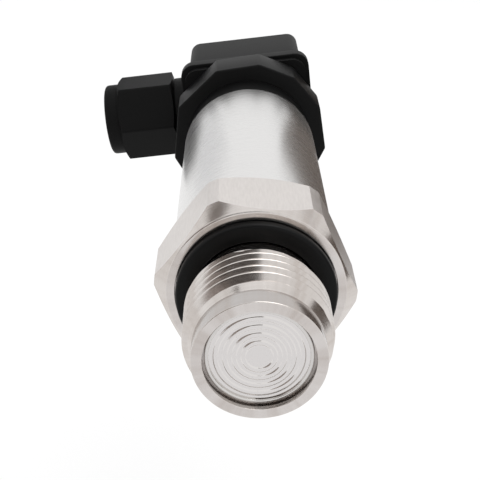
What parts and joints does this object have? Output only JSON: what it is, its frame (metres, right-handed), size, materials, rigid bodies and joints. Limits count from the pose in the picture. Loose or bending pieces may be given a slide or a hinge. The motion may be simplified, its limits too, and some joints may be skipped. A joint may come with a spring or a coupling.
{
  "type": "pressure transmitter",
  "caption": "Stainless screw-in pressure transmitter: flush corrugated diaphragm, G1/2 thread with sealing collar, hexagon, tube housing and square black plug with side cable gland.",
  "frame": {"origin": "on the axis, in the plane of the hexagon's sealing face", "axes": "+Y along the axis from the process end to the plug; +Z is the normal of one hexagon flat; +X completes the right-handed frame, with the cable gland on the -X side"},
  "size_m": [0.0474, 0.1114, 0.0317],
  "materials": {
    "turned_stainless": "turned and milled stainless steel",
    "brushed_tube": "fine turned finish round the tube",
    "diaphragm_foil": "bright corrugated foil",
    "capsule_steel": "bright turned steel",
    "seal_rubber": "smooth black elastomer",
    "gasket_rubber": "matte black rubber",
    "base_plastic": "moulded black plastic",
    "plug_plastic": "moulded black plastic, lightly textured",
    "carrier_plastic": "grey moulded plastic",
    "circuit_board": "green circuit board",
    "component_plastic": "black component bodies",
    "ribbon_film": "amber film ribbon",
    "tinned_copper": "tin-plated copper alloy",
    "gold_contact": "gold-plated pins",
    "brass_insert": "machined brass",
    "screw_steel": "zinc-plated steel",
    "silicon": "polished silicon die"
  },
  "bodies": {
    "transmitter": {"process_connection": "turned_stainless", "process_seal": "seal_rubber", "diaphragm": "diaphragm_foil", "weld_ring": "capsule_steel", "sensor_body": "capsule_steel", "sensor_header": "capsule_steel", "header_pins": "gold_contact", "pressure_chip": "silicon", "fill_plug": "capsule_steel", "capsule_o_ring": "seal_rubber", "retaining_ring": "capsule_steel", "compensation_board": "circuit_board", "sensor_ribbon": "ribbon_film", "main_circuit_board": "circuit_board", "board_components": "component_plastic", "board_carrier": "carrier_plastic", "connector_leads": "tinned_copper", "housing_tube": "brushed_tube", "connector_base": "base_plastic", "base_o_ring": "seal_rubber", "contact_blade_1": "tinned_copper", "contact_blade_2": "tinned_copper", "contact_blade_3": "tinned_copper", "ground_blade": "tinned_copper", "base_insert": "brass_insert", "flat_gasket": "gasket_rubber"},
    "plug": {"plug_housing": "plug_plastic", "terminal_block": "carrier_plastic", "terminal_contacts": "tinned_copper", "terminal_screws": "screw_steel", "screw_seal": "gasket_rubber", "gland_grommet": "gasket_rubber"},
    "fixing_screw": {"fixing_screw": "screw_steel"},
    "gland_washer": {"gland_washer": "base_plastic"},
    "gland_nut": {"gland_nut": "plug_plastic"}
  },
  "joints": [
    {"name": "plug_pull", "type": "slide", "parent": "transmitter", "child": "plug", "axis": [0, 1, 0], "range_m": [0, 0.012]},
    {"name": "fixing_screw_turn", "type": "hinge", "parent": "plug", "child": "fixing_screw", "pos_m": [0, 0.09, 0], "axis": [0, 1, 0], "continuous": true},
    {"name": "gland_washer_slide", "type": "slide", "parent": "plug", "child": "gland_washer", "axis": [-0.9778, 0, -0.2096], "range_m": [0, 0.0028]},
    {"name": "gland_nut_turn", "type": "hinge", "parent": "gland_washer", "child": "gland_nut", "pos_m": [0, 0.0843, 0], "axis": [-0.9778, 0, -0.2096], "range_deg": [0, 720]}
  ],
  "couplings": [
    {"joint": "gland_nut_turn", "follows": "gland_washer_slide", "rad_per_m": 4456.2}
  ]
}
